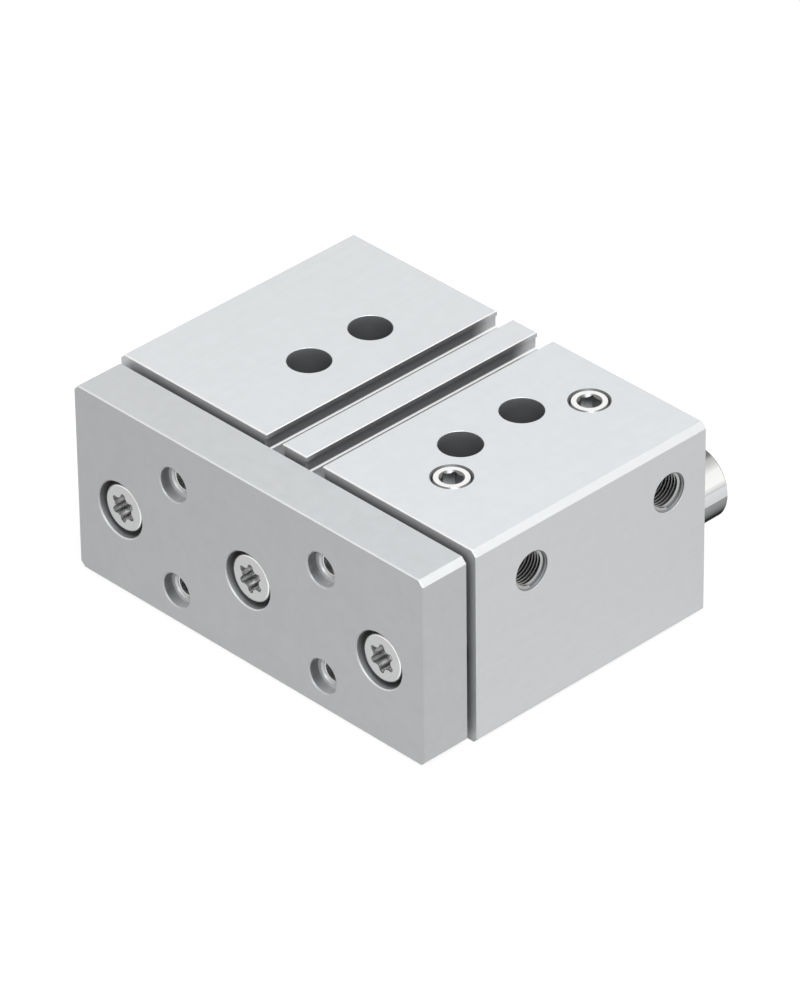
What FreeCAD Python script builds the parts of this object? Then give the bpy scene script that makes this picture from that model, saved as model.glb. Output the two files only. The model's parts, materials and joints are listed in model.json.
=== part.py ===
"""Guided pneumatic cylinder with a 40 mm bore and a 25 mm stroke, in millimetres.

A square-cornered aluminium housing holds a piston between two guide rods. The piston rod and both
guide rods are screwed to a front plate, which they carry out along -Y when the piston extends.

The origin is the centre of the housing's bottom face. +X runs across the housing, +Y to the rear
and +Z up. Distances named "depth" or "at" run from the housing's front face towards the rear. The
model stands fully retracted.
"""

import FreeCAD
import Part

import math
import os

V = FreeCAD.Vector

# Main sizes
stroke = 25.0
bore_diameter = 40.0
bore_wall_below = 5.0
bore_wall_above = 9.0
body_width = 120.0
body_corner_chamfer = 1.5
edge_break = 0.3
fine_edge_break = 0.1

# Front plate
plate_width = 118.0
plate_height = 52.0
plate_thickness = 14.0
plate_corner_chamfer = 1.5
plate_gap = 2.0

# Axes of the guide rods, side by side and a little below the piston's
guide_spacing = 88.0
guide_axis_drop = 1.0

# Guide rods and what they run in
guide_rod_diameter = 20.0
guide_rod_overhang = 14.4
guide_rod_end_chamfer = 0.5
guide_bush_wall = 1.5
guide_bush_length = 22.0
rear_bush_inset = 1.6
guide_relief = 0.8
wiper_wall = 2.7
guide_felt_length = 2.6
guide_holder_length = 1.6
guide_holder_relief = 0.35
guide_bore_chamfer = 0.4

# Piston rod and the cap that guides it
piston_rod_diameter = 16.0
cap_length = 11.5
rod_seal_length = 3.2
rod_wiper_length = 3.2
rod_seal_wall = 3.1
rod_bush_wall = 1.4

# Rear cover
cover_thickness = 6.0
cover_dish_depth = 1.2
cover_rim = 5.0

# Internal retaining rings, of the size that suits the bore
ring_inset = 2.0
ring_thickness = 1.75
ring_groove_width = 1.85
ring_groove_depth = 1.25
ring_radial_width = 2.7
ring_gap_angle = 34.0
ring_ear_radius = 2.4
ring_ear_hole_radius = 1.1

# Static seals in the cap and in the cover
o_ring_section = 2.0
o_ring_groove_width = 2.6

# Piston
land_wall = 1.0
piston_seal_length = 3.0
piston_seal_depth = 3.4
band_length = 3.2
band_thickness = 1.6
magnet_thickness = 3.6
boss_length = 5.5
boss_inset = 4.5
cushion_width = 3.0
cushion_depth = 2.4
cushion_height = 0.5
cushion_inset = 1.4
rod_spigot_diameter = 10.0
rod_seat_depth = 3.0
piston_web = 4.0
piston_nut_across_flats = 17.0
piston_nut_height = 5.0
piston_nut_relief = 0.5
spigot_end_past_nut = 0.8
rod_o_ring_section = 1.8

# Screws that hold the rods to the plate
screw_diameter = 8.0
screw_hole_diameter = 8.6
screw_head_diameter = 12.6
screw_head_height = 5.0
screw_head_round = 0.8
screw_head_recess = 1.0
screw_engagement = 15.0
screw_bore_extra = 3.0
counterbore_diameter = 15.0
lobe_across = 7.95
lobe_core = 5.65
lobe_flank_radius = 1.25
lobe_depth = 3.4
rod_recess_depth = 3.0

# Threaded pattern on the plate, with centring recesses
pattern_width = 50.0
pattern_height = 30.0
pattern_thread_diameter = 6.0
centring_diameter = 9.0
centring_depth = 2.85
pattern_countersink = 0.5

# Sensor slots along the top
slot_opening = 5.4
slot_inner_width = 6.5
slot_rib = 8.1
slot_lip = 1.4
slot_depth = 4.8
slot_floor_chamfer = 0.45
slot_edge_break = 0.2

# Mounting holes through the housing
mount_spacing_x = 51.0
mount_spacing_y = 20.2
mount_first_at = 29.1
mount_hole_diameter = 6.6
mount_counterbore_diameter = 11.0
mount_counterbore_depth = 16.0
mount_thread_diameter = 8.0
mount_thread_depth = 16.0

# Air ports in the side and plugged ports in the top
port_diameter = 9.73
port_mouth_diameter = 10.2
port_mouth_depth = 0.4
port_thread_depth = 10.0
port_axis_from_top = 13.75
channel_diameter = 5.0
channel_margin = 0.15
plug_port_x = 33.8
plug_port_depth = 8.0
plug_mouth_diameter = 10.5
plug_length = 6.5
plug_inset = 0.1
plug_edge = 0.45
plug_hex_across_flats = 5.0
plug_hex_depth = 4.0
plug_countersink_diameter = 6.2

# Clearances between pieces
running_clearance = 0.05
seat_clearance = 0.05
stop_clearance = 0.3

# How far two planes may differ and still count as one
tolerance = 0.01

# Sizes that follow from the ones above
bore_radius = bore_diameter / 2
body_height = bore_wall_below + bore_diameter + bore_wall_above
piston_axis_height = bore_wall_below + bore_radius
guide_axis_height = piston_axis_height - guide_axis_drop
port_axis_height = body_height - port_axis_from_top
piston_rod_radius = piston_rod_diameter / 2
guide_radius = guide_rod_diameter / 2
bush_seat_radius = guide_radius + guide_bush_wall + seat_clearance
wiper_seat_radius = guide_radius + wiper_wall
wiper_seat_depth = guide_felt_length + guide_holder_length
land_length = 4 * land_wall + 2 * piston_seal_length + band_length
piston_length = land_length + 2 * boss_length
chamber_length = stroke + piston_length + 2 * (cushion_height + stop_clearance)
cap_at = ring_inset + ring_groove_width
chamber_at = cap_at + cap_length
cover_at = chamber_at + chamber_length
body_length = cover_at + cover_thickness + ring_groove_width + ring_inset
piston_at = cover_at - stop_clearance - cushion_height - piston_length
rear_bush_at = body_length - rear_bush_inset - guide_bush_length
front_port_at = chamber_at + channel_diameter / 2 + channel_margin
rear_port_at = cover_at - channel_diameter / 2 - channel_margin
front_y = -body_length / 2
rear_y = body_length / 2
plate_back_at = -plate_gap
plate_front_at = -plate_gap - plate_thickness
rod_front_at = plate_back_at - rod_recess_depth
head_bottom_at = plate_front_at + screw_head_recess + screw_head_height
head_top_at = plate_front_at + screw_head_recess
lobe_radius = lobe_across / 2
lobe_flank_path = lobe_core / 2 + lobe_flank_radius
lobe_tip_radius = (
    lobe_radius**2
    + lobe_flank_path**2
    - 2 * lobe_radius * lobe_flank_path * math.cos(math.pi / 6)
    - lobe_flank_radius**2
) / (2 * (lobe_radius + lobe_flank_radius - lobe_flank_path * math.cos(math.pi / 6)))
side_sign = {"left": -1, "right": 1}


def y_at(distance):
    """Y of a plane at a distance behind the housing's front face."""
    return front_y + distance


def rod_along_y(radius, start, end, x=0.0, z=0.0):
    """Cylinder along Y between two distances from the front face."""
    return Part.makeCylinder(radius, end - start, V(x, y_at(start), z), V(0, 1, 0))


def tube_along_y(inner, outer, start, end, x=0.0, z=0.0):
    """Plain ring along Y."""
    return rod_along_y(outer, start, end, x, z).cut(rod_along_y(inner, start, end, x, z))


def turned(points, x=0.0, z=0.0):
    """Solid of revolution about Y, from (radius, distance from the front face) points."""
    corners = [V(x + radius, y_at(at), z) for radius, at in points]
    face = Part.Face(Part.makePolygon(corners + corners[:1]))
    return face.revolve(V(x, 0, z), V(0, 1, 0), 360)


def o_ring(section, centre_radius, at, x=0.0, z=0.0):
    """Ring of round section, lying across Y."""
    return Part.makeTorus(centre_radius, section / 2, V(x, y_at(at), z), V(0, 1, 0))


def prism_xz(points, start, end):
    """Prism along Y of a closed outline in (x, z)."""
    corners = [V(x, y_at(start), z) for x, z in points]
    face = Part.Face(Part.makePolygon(corners + corners[:1]))
    return face.extrude(V(0, end - start, 0))


def hexagon(across_flats, centre, height, direction):
    """Hexagonal prism from a centre point along a direction."""
    radius = across_flats / 2 / math.cos(math.pi / 6)
    upright = FreeCAD.Rotation(V(0, 0, 1), direction)
    corners = []
    for index in range(6):
        angle = math.radians(60 * index)
        corner = V(radius * math.cos(angle), radius * math.sin(angle), 0)
        corners.append(centre + upright.multVec(corner))
    face = Part.Face(Part.makePolygon(corners + corners[:1]))
    return face.extrude(V(direction).multiply(height))


def chamfered_rectangle(width, height, chamfer, centre_z):
    """Outline in (x, z) of a rectangle with cut corners."""
    x, z = width / 2, height / 2
    quarter = [(x, z - chamfer), (x - chamfer, z)]
    outline = quarter + [(-px, pz) for px, pz in reversed(quarter)]
    outline += [(px, -pz) for px, pz in reversed(outline)]
    return [(px, centre_z + pz) for px, pz in outline]


def lies_at(edge, y):
    """Whether a whole edge lies in the plane at y."""
    return abs(edge.BoundBox.YMin - y) < tolerance and abs(edge.BoundBox.YMax - y) < tolerance


def block_along_y(width, height, chamfer, centre_z, start, end):
    """Block with cut corners along Y, and its end edges broken."""
    outline = chamfered_rectangle(width, height, chamfer, centre_z)
    block = prism_xz(outline, start, end)
    ends = (y_at(start), y_at(end))
    rims = [edge for edge in block.Edges if any(lies_at(edge, y) for y in ends)]
    return block.makeChamfer(edge_break, rims)


def hole(centre, radius, depth, direction, mouth_radius=None):
    """Round hole cutter from a face inwards, with a cone at its mouth if a mouth radius is given."""
    outside = V(direction).multiply(-1.0)
    cutter = Part.makeCylinder(radius, depth + 1.0, centre + outside, direction)
    if mouth_radius:
        flare = mouth_radius - radius
        cone = Part.makeCone(mouth_radius, radius, flare, centre, direction)
        lead = Part.makeCylinder(mouth_radius, 1.0, centre + outside, direction)
        cutter = cutter.fuse([cone, lead])
    return cutter


def sensor_slot(centre_x):
    """T-shaped slot cutter along the whole top, with its mouth edges broken."""
    neck, inner = slot_opening / 2, slot_inner_width / 2
    top, lip = body_height, body_height - slot_lip
    floor = body_height - slot_depth
    half = [
        (neck + slot_edge_break + 1.0, top + 1.0),
        (neck + slot_edge_break, top),
        (neck, top - slot_edge_break),
        (neck, lip),
        (inner, lip),
        (inner, floor + slot_floor_chamfer),
        (inner - slot_floor_chamfer, floor),
    ]
    outline = half + [(-x, z) for x, z in reversed(half)]
    return prism_xz([(centre_x + x, z) for x, z in outline], -1.0, body_length + 1.0)


def guide_bore(x):
    """Bore for one guide rod, with a bush seat at each end and a wiper seat at the front."""
    z = guide_axis_height
    seat, wiper_seat = bush_seat_radius, wiper_seat_radius
    front_mouth, rear_mouth = V(x, front_y, z), V(x, rear_y, z)
    return [
        rod_along_y(guide_radius + guide_relief, -1.0, body_length + 1.0, x, z),
        rod_along_y(seat, -1.0, wiper_seat_depth + guide_bush_length, x, z),
        rod_along_y(seat, rear_bush_at, body_length + 1.0, x, z),
        hole(front_mouth, wiper_seat, wiper_seat_depth, V(0, 1, 0), wiper_seat + guide_bore_chamfer),
        hole(rear_mouth, seat, rear_bush_inset, V(0, -1, 0), seat + guide_bore_chamfer),
    ]


def cylinder_bore():
    """Main bore, with a groove near each end for a retaining ring."""
    z = piston_axis_height
    groove_radius = bore_radius + ring_groove_depth
    rear_groove_at = body_length - ring_inset - ring_groove_width
    return [
        hole(V(0, front_y, z), bore_radius, body_length + 1.0, V(0, 1, 0), bore_radius + edge_break),
        hole(V(0, rear_y, z), bore_radius, ring_inset, V(0, -1, 0), bore_radius + edge_break),
        rod_along_y(groove_radius, ring_inset, ring_inset + ring_groove_width, 0, z),
        rod_along_y(groove_radius, rear_groove_at, rear_groove_at + ring_groove_width, 0, z),
    ]


def air_passages(at):
    """Side port, plugged top port and the channel from both to the bore."""
    y = y_at(at)
    side = V(body_width / 2, y, port_axis_height)
    top = V(plug_port_x, y, body_height)
    inward, down = V(-1, 0, 0), V(0, 0, -1)
    reach = body_width / 2 - bore_radius / 2
    mouth = port_mouth_diameter / 2
    return [
        hole(side, mouth, port_mouth_depth, inward, mouth + edge_break / 2),
        hole(side + V(-port_mouth_depth, 0, 0), port_diameter / 2, port_thread_depth, inward, mouth),
        hole(top, port_diameter / 2, plug_port_depth, down, plug_mouth_diameter / 2),
        Part.makeCylinder(channel_diameter / 2, reach, side, inward),
        Part.makeCylinder(channel_diameter / 2, body_height - port_axis_height, top, down),
    ]


def mount_holes():
    """Counterbored holes down through the housing, each threaded from below."""
    cutters = []
    for x in (-mount_spacing_x / 2, mount_spacing_x / 2):
        for at in (mount_first_at, mount_first_at + mount_spacing_y):
            top = V(x, y_at(at), body_height)
            bottom = V(x, y_at(at), 0)
            counterbore = mount_counterbore_diameter / 2
            thread = mount_thread_diameter / 2
            cutters += [
                hole(top, counterbore, mount_counterbore_depth, V(0, 0, -1), counterbore + fine_edge_break),
                hole(top, mount_hole_diameter / 2, body_height + 1.0, V(0, 0, -1)),
                hole(bottom, thread, mount_thread_depth, V(0, 0, 1), thread + 2 * edge_break),
            ]
    return cutters


def housing():
    """Extruded housing with every bore, slot, port and hole."""
    block = block_along_y(body_width, body_height, body_corner_chamfer, body_height / 2, 0, body_length)
    slot_x = (slot_rib + slot_opening) / 2
    cutters = [sensor_slot(-slot_x), sensor_slot(slot_x)]
    for sign in side_sign.values():
        cutters += guide_bore(sign * guide_spacing / 2)
    cutters += cylinder_bore()
    for at in (front_port_at, rear_port_at):
        cutters += air_passages(at)
    cutters += mount_holes()
    return block.cut(cutters)


def port_plug(at):
    """Threaded plug with a hexagonal socket, just under the top face."""
    y = y_at(at)
    radius = port_diameter / 2 - seat_clearance
    top = V(plug_port_x, y, body_height - plug_inset)
    body = Part.makeCylinder(radius, plug_length - plug_edge, top + V(0, 0, -plug_length), V(0, 0, 1))
    edge = Part.makeCone(radius, radius - plug_edge, plug_edge, top + V(0, 0, -plug_edge), V(0, 0, 1))
    socket = hexagon(plug_hex_across_flats, top + V(0, 0, 1.0), plug_hex_depth + 1.0, V(0, 0, -1))
    inscribed = plug_hex_across_flats / 2
    mouth = plug_countersink_diameter / 2
    countersink = hole(top, inscribed, mouth - inscribed, V(0, 0, -1), mouth)
    return body.fuse(edge).removeSplitter().cut([socket, countersink])


def port_plugs():
    """Both plugs of the top ports."""
    return Part.makeCompound([port_plug(front_port_at), port_plug(rear_port_at)])


def guide_bush(sign, start):
    """Plain bearing sleeve of one guide bore."""
    inner = guide_radius + running_clearance
    outer = bush_seat_radius - seat_clearance
    x, z = sign * guide_spacing / 2, guide_axis_height
    return tube_along_y(inner, outer, start, start + guide_bush_length, x, z)


def guide_felt(sign):
    """Oiled felt ring that wipes a guide rod."""
    start = guide_holder_length
    inner = guide_radius + running_clearance
    outer = wiper_seat_radius - seat_clearance
    x, z = sign * guide_spacing / 2, guide_axis_height
    return tube_along_y(inner, outer, start, start + guide_felt_length, x, z)


def guide_holder(sign):
    """Ring that holds the felt in the mouth of a guide bore."""
    inner = guide_radius + guide_holder_relief
    outer = wiper_seat_radius - seat_clearance
    points = [
        (inner, 0),
        (outer - edge_break, 0),
        (outer, edge_break),
        (outer, guide_holder_length),
        (inner, guide_holder_length),
    ]
    return turned(points, sign * guide_spacing / 2, guide_axis_height)


def retaining_ring(start):
    """Internal retaining ring with two drilled ears, its gap at the bottom."""
    z = piston_axis_height
    end = start + ring_thickness
    outer = bore_radius + ring_groove_depth - seat_clearance
    inner = outer - ring_radial_width
    ring = tube_along_y(inner, outer, start, end, 0, z)
    half_gap = math.radians(ring_gap_angle / 2)
    far = 2 * outer
    spread = far * math.tan(half_gap)
    ring = ring.cut(prism_xz([(0, z), (spread, z - far), (-spread, z - far)], start, end))
    ear_path = bore_radius - seat_clearance - ring_ear_radius
    ear_angle = half_gap + math.asin(ring_ear_radius / ear_path)
    for sign in side_sign.values():
        x = sign * ear_path * math.sin(ear_angle)
        ear_z = z - ear_path * math.cos(ear_angle)
        ring = ring.fuse(rod_along_y(ring_ear_radius, start, end, x, ear_z))
        ring = ring.cut(rod_along_y(ring_ear_hole_radius, start, end, x, ear_z))
    return ring.removeSplitter()


def front_retaining_ring():
    """Ring in front of the bearing cap."""
    return retaining_ring(cap_at - ring_thickness)


def rear_retaining_ring():
    """Ring behind the rear cover."""
    return retaining_ring(cover_at + cover_thickness)


def o_ring_groove(outer_radius, middle):
    """Points of a groove in a turned outer face, from front to rear."""
    bottom = outer_radius - o_ring_section
    start, end = middle - o_ring_groove_width / 2, middle + o_ring_groove_width / 2
    return [(outer_radius, start), (bottom, start), (bottom, end), (outer_radius, end)]


def bearing_cap():
    """Front cap that closes the bore and holds the rod's bush, seal and wiper."""
    outer = bore_radius - seat_clearance
    seal_seat = piston_rod_radius + rod_seal_wall
    bush_seat = piston_rod_radius + rod_bush_wall
    end = cap_at + cap_length
    step = cap_at + rod_wiper_length + rod_seal_length
    points = [
        (seal_seat, cap_at),
        (outer - edge_break, cap_at),
        (outer, cap_at + edge_break),
        *o_ring_groove(outer, cap_at + cap_length / 2),
        (outer, end - edge_break),
        (outer - edge_break, end),
        (bush_seat, end),
        (bush_seat, step),
        (seal_seat, step),
    ]
    return turned(points, 0, piston_axis_height)


def lip_ring(inner, outer, start, length, lip_towards_bore):
    """Seal ring with a groove in its front face that leaves two lips."""
    end = start + length
    wall = (outer - inner) / 3
    notch = start + length / 2
    middle = outer - 1.5 * wall
    lean = running_clearance if lip_towards_bore else 0.0
    points = [
        (inner + lean, start),
        (inner + wall, start),
        (middle, notch),
        (outer - wall, start),
        (outer, start),
        (outer, end),
        (inner + lean, end),
    ]
    return turned(points, 0, piston_axis_height)


def rod_wiper():
    """Wiper at the cap's mouth."""
    inner = piston_rod_radius + running_clearance
    outer = piston_rod_radius + rod_seal_wall - seat_clearance
    return lip_ring(inner, outer, cap_at, rod_wiper_length, False)


def rod_seal():
    """Lip seal behind the wiper."""
    inner = piston_rod_radius + running_clearance
    outer = piston_rod_radius + rod_seal_wall - seat_clearance
    return lip_ring(inner, outer, cap_at + rod_wiper_length, rod_seal_length, False)


def rod_bush():
    """Bush that guides the piston rod in the cap."""
    start = cap_at + rod_wiper_length + rod_seal_length
    inner = piston_rod_radius + running_clearance
    outer = piston_rod_radius + rod_bush_wall - seat_clearance
    return tube_along_y(inner, outer, start, chamber_at, 0, piston_axis_height)


def static_seal(middle):
    """O-ring in a groove of the cap or of the cover."""
    centre_radius = bore_radius - seat_clearance - o_ring_section / 2
    return o_ring(o_ring_section - 2 * seat_clearance, centre_radius, middle, 0, piston_axis_height)


def rear_cover():
    """Disc that closes the bore at the rear, dished on the outside."""
    outer = bore_radius - seat_clearance
    dish = outer - cover_rim
    end = cover_at + cover_thickness
    points = [
        (0, cover_at),
        (outer - edge_break, cover_at),
        (outer, cover_at + edge_break),
        *o_ring_groove(outer, cover_at + cover_thickness / 2),
        (outer, end - edge_break),
        (outer - edge_break, end),
        (dish, end),
        (dish - cover_dish_depth, end - cover_dish_depth),
        (0, end - cover_dish_depth),
    ]
    return turned(points, 0, piston_axis_height)


def rod_fixings():
    """Axis and recess radius of each rod that is screwed to the plate."""
    half = guide_spacing / 2
    return [
        (-half, guide_axis_height, guide_radius),
        (0.0, piston_axis_height, piston_rod_radius),
        (half, guide_axis_height, guide_radius),
    ]


def pattern_points():
    """The four threaded places on the plate, centred on the piston's axis."""
    heights = (piston_axis_height - pattern_height / 2, piston_axis_height + pattern_height / 2)
    return [(x, z) for x in (-pattern_width / 2, pattern_width / 2) for z in heights]


def front_plate():
    """Plate with screw counterbores, rod recesses and the threaded pattern."""
    plate = block_along_y(
        plate_width, plate_height, plate_corner_chamfer, body_height / 2, plate_front_at, plate_back_at
    )
    front, back = y_at(plate_front_at), y_at(plate_back_at)
    inward, outward = V(0, 1, 0), V(0, -1, 0)
    counterbore = counterbore_diameter / 2
    head_depth = screw_head_recess + screw_head_height
    cutters = []
    for x, z, rod_radius in rod_fixings():
        recess = rod_radius + seat_clearance
        cutters += [
            hole(V(x, front, z), counterbore, head_depth, inward, counterbore + edge_break),
            hole(V(x, front, z), screw_hole_diameter / 2, plate_thickness + 1.0, inward),
            hole(V(x, back, z), recess, rod_recess_depth, outward, recess + edge_break),
        ]
    thread, centring = pattern_thread_diameter / 2, centring_diameter / 2
    for x, z in pattern_points():
        cutters += [
            hole(V(x, front, z), centring, centring_depth, inward, centring + edge_break),
            hole(V(x, front, z), thread, plate_thickness + 1.0, inward),
            hole(V(x, front + centring_depth, z), thread, 1.0, inward, thread + pattern_countersink),
            hole(V(x, back, z), thread, centring_depth, outward, thread + 2 * edge_break),
        ]
    return plate.cut(cutters)


def lobe_socket(x, z):
    """Six-lobed socket cutter of tangent arcs, with a lobe at the top."""
    start, end = head_top_at - 1.0, head_top_at + lobe_depth

    def place(distance, turn):
        """Point in the socket's section, turned from the top."""
        angle = math.radians(turn)
        return V(x + distance * math.sin(angle), y_at(start), z + distance * math.cos(angle))

    def joint(turn, side):
        """Point where the tip arc at a turn runs into the flank arc beside it."""
        tip = place(lobe_radius - lobe_tip_radius, turn)
        flank = place(lobe_flank_path, turn + side * 30)
        share = lobe_tip_radius / (lobe_tip_radius + lobe_flank_radius)
        return tip + (flank - tip).multiply(share)

    arcs = []
    for turn in range(0, 360, 60):
        arcs.append(Part.Arc(joint(turn, -1), place(lobe_radius, turn), joint(turn, 1)).toShape())
        arcs.append(Part.Arc(joint(turn, 1), place(lobe_core / 2, turn + 30), joint(turn + 60, -1)).toShape())
    return Part.Face(Part.Wire(arcs)).extrude(V(0, end - start, 0))


def plate_screw(x, z):
    """Cheese-head screw with a rounded rim and a six-lobed socket."""
    head = rod_along_y(screw_head_diameter / 2, head_top_at, head_bottom_at, x, z)
    rim = [edge for edge in head.Edges if lies_at(edge, y_at(head_top_at))]
    head = head.makeFillet(screw_head_round, rim)
    shank_end = rod_front_at + screw_engagement
    shank = rod_along_y(screw_diameter / 2, head_bottom_at, shank_end, x, z)
    return head.fuse(shank).cut(lobe_socket(x, z))


def plate_screws():
    """The three screws in the plate's counterbores."""
    return Part.makeCompound([plate_screw(x, z) for x, z, rod_radius in rod_fixings()])


def screw_bore(x, z):
    """Threaded hole cutter in the front end of a rod."""
    radius = screw_diameter / 2 + seat_clearance
    end = rod_front_at + screw_engagement + screw_bore_extra
    return rod_along_y(radius, rod_front_at - 1.0, end, x, z)


def guide_rod(sign):
    """Hardened guide rod from the plate out past the housing's rear face."""
    x, z = sign * guide_spacing / 2, guide_axis_height
    end = body_length + guide_rod_overhang
    points = [
        (0, rod_front_at),
        (guide_radius - edge_break, rod_front_at),
        (guide_radius, rod_front_at + edge_break),
        (guide_radius, end - guide_rod_end_chamfer),
        (guide_radius - guide_rod_end_chamfer, end),
        (0, end),
    ]
    return turned(points, x, z).cut(screw_bore(x, z))


def piston_rod():
    """Rod from the plate to the piston, with a thinner end that the piston is clamped on."""
    shoulder = piston_at + rod_seat_depth
    spigot = rod_spigot_diameter / 2
    end = nut_at() + piston_nut_height + spigot_end_past_nut
    points = [
        (0, rod_front_at),
        (piston_rod_radius - edge_break, rod_front_at),
        (piston_rod_radius, rod_front_at + edge_break),
        (piston_rod_radius, shoulder),
        (spigot, shoulder),
        (spigot, end - edge_break),
        (spigot - edge_break, end),
        (0, end),
    ]
    z = piston_axis_height
    return turned(points, 0, z).cut(screw_bore(0, z))


def magnet_at():
    """Front face of the magnet, in the middle of the piston's land."""
    return piston_at + boss_length + 2 * land_wall + piston_seal_length


def nut_at():
    """Seat of the piston nut in the rear half."""
    return magnet_at() + band_length + piston_web


def land_radius():
    """Outer radius of the piston's metal land, which stays clear of the bore."""
    return bore_radius - stop_clearance


def seal_groove_radius():
    """Bottom of the grooves for the piston seals."""
    return bore_radius - piston_seal_depth


def magnet_hub_radius():
    """Hub that the magnet sits on."""
    return bore_radius - running_clearance - band_thickness - magnet_thickness - 2 * seat_clearance


def piston_front():
    """Front half of the piston, with the hub that carries the magnet."""
    boss = bore_radius - boss_inset
    land = land_radius()
    groove = seal_groove_radius()
    hub = magnet_hub_radius() - seat_clearance
    rod_seat = piston_rod_radius + seat_clearance
    spigot = rod_spigot_diameter / 2 + seat_clearance
    land_at = piston_at + boss_length
    groove_at = land_at + land_wall
    seat_at = piston_at + rod_seat_depth
    points = [
        (rod_seat, piston_at),
        (boss - cushion_inset - cushion_width, piston_at),
        (boss - cushion_inset - cushion_width, piston_at + cushion_depth),
        (boss - cushion_inset, piston_at + cushion_depth),
        (boss - cushion_inset, piston_at),
        (boss, piston_at),
        (boss, land_at),
        (land, land_at),
        (land, groove_at),
        (groove, groove_at),
        (groove, groove_at + piston_seal_length),
        (land, groove_at + piston_seal_length),
        (land, magnet_at()),
        (hub, magnet_at()),
        (hub, magnet_at() + band_length),
        (spigot, magnet_at() + band_length),
        (spigot, seat_at + rod_o_ring_section),
        (spigot + rod_o_ring_section, seat_at + rod_o_ring_section),
        (spigot + rod_o_ring_section, seat_at),
        (rod_seat, seat_at),
    ]
    return turned(points, 0, piston_axis_height)


def piston_rear():
    """Rear half of the piston, with the recess for the nut."""
    boss = bore_radius - boss_inset
    land = land_radius()
    groove = seal_groove_radius()
    spigot = rod_spigot_diameter / 2 + seat_clearance
    nut_recess = piston_nut_across_flats / 2 / math.cos(math.pi / 6) + piston_nut_relief
    start = magnet_at() + band_length
    groove_at = start + land_wall
    land_end = groove_at + piston_seal_length + land_wall
    end = piston_at + piston_length
    points = [
        (spigot, start),
        (land, start),
        (land, groove_at),
        (groove, groove_at),
        (groove, groove_at + piston_seal_length),
        (land, groove_at + piston_seal_length),
        (land, land_end),
        (boss, land_end),
        (boss, end),
        (boss - cushion_inset, end),
        (boss - cushion_inset, end - cushion_depth),
        (boss - cushion_inset - cushion_width, end - cushion_depth),
        (boss - cushion_inset - cushion_width, end),
        (nut_recess, end),
        (nut_recess, nut_at()),
        (spigot, nut_at()),
    ]
    return turned(points, 0, piston_axis_height)


def piston_magnet():
    """Ring magnet that the sensors in the slots read."""
    inner = magnet_hub_radius()
    outer = inner + magnet_thickness
    return tube_along_y(inner, outer, magnet_at(), magnet_at() + band_length, 0, piston_axis_height)


def piston_guide_band():
    """Slide ring around the magnet."""
    outer = bore_radius - running_clearance
    inner = outer - band_thickness
    return tube_along_y(inner, outer, magnet_at(), magnet_at() + band_length, 0, piston_axis_height)


def piston_seal(start):
    """Lip seal in a groove of the piston."""
    inner = seal_groove_radius() + seat_clearance
    outer = bore_radius - running_clearance
    return lip_ring(inner, outer, start, piston_seal_length, True)


def cushion_ring(start):
    """Elastic ring in the end of a piston half, standing out to take the stop."""
    outer = bore_radius - boss_inset - cushion_inset - seat_clearance
    inner = outer - cushion_width + 2 * seat_clearance
    return tube_along_y(inner, outer, start, start + cushion_depth + cushion_height, 0, piston_axis_height)


def piston_nut():
    """Thin hexagonal nut that clamps the piston halves on the rod."""
    start = V(0, y_at(nut_at()), piston_axis_height)
    nut = hexagon(piston_nut_across_flats, start, piston_nut_height, V(0, 1, 0))
    bore = rod_spigot_diameter / 2 + seat_clearance
    return nut.cut(rod_along_y(bore, nut_at(), nut_at() + piston_nut_height, 0, piston_axis_height))


def rod_o_ring():
    """Static seal between the rod's spigot and the front half of the piston."""
    section = rod_o_ring_section - 2 * seat_clearance
    centre_radius = rod_spigot_diameter / 2 + seat_clearance + rod_o_ring_section / 2
    at = piston_at + rod_seat_depth + rod_o_ring_section / 2
    return o_ring(section, centre_radius, at, 0, piston_axis_height)


def build_parts():
    """All sub-parts by node name."""
    first_seal_at = piston_at + boss_length + land_wall
    second_seal_at = magnet_at() + band_length + land_wall
    parts = {
        "housing": housing(),
        "port_plugs": port_plugs(),
        "bearing_cap": bearing_cap(),
        "bearing_cap_o_ring": static_seal(cap_at + cap_length / 2),
        "rod_bush": rod_bush(),
        "rod_seal": rod_seal(),
        "rod_wiper": rod_wiper(),
        "front_retaining_ring": front_retaining_ring(),
        "rear_cover": rear_cover(),
        "rear_cover_o_ring": static_seal(cover_at + cover_thickness / 2),
        "rear_retaining_ring": rear_retaining_ring(),
        "front_plate": front_plate(),
        "plate_screws": plate_screws(),
        "piston_rod": piston_rod(),
        "piston_front": piston_front(),
        "piston_rear": piston_rear(),
        "piston_magnet": piston_magnet(),
        "piston_guide_band": piston_guide_band(),
        "piston_seal_front": piston_seal(first_seal_at),
        "piston_seal_rear": piston_seal(second_seal_at),
        "cushion_front": cushion_ring(piston_at - cushion_height),
        "cushion_rear": cushion_ring(piston_at + piston_length - cushion_depth),
        "piston_nut": piston_nut(),
        "piston_rod_o_ring": rod_o_ring(),
    }
    for side, sign in side_sign.items():
        parts["guide_rod_" + side] = guide_rod(sign)
        parts["front_guide_bush_" + side] = guide_bush(sign, wiper_seat_depth)
        parts["rear_guide_bush_" + side] = guide_bush(sign, rear_bush_at)
        parts["guide_felt_" + side] = guide_felt(sign)
        parts["front_guide_holder_" + side] = guide_holder(sign)
    return parts


def main():
    os.makedirs("parts", exist_ok=True)
    for name, shape in build_parts().items():
        if not shape.isValid():
            raise ValueError(name + " is not a valid solid")
        shape.exportStep(os.path.join("parts", name + ".step"))
        print(name, len(shape.Solids), round(shape.Volume, 1))
    print("body length", body_length, "ports at", front_port_at, rear_port_at)


main()
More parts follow.
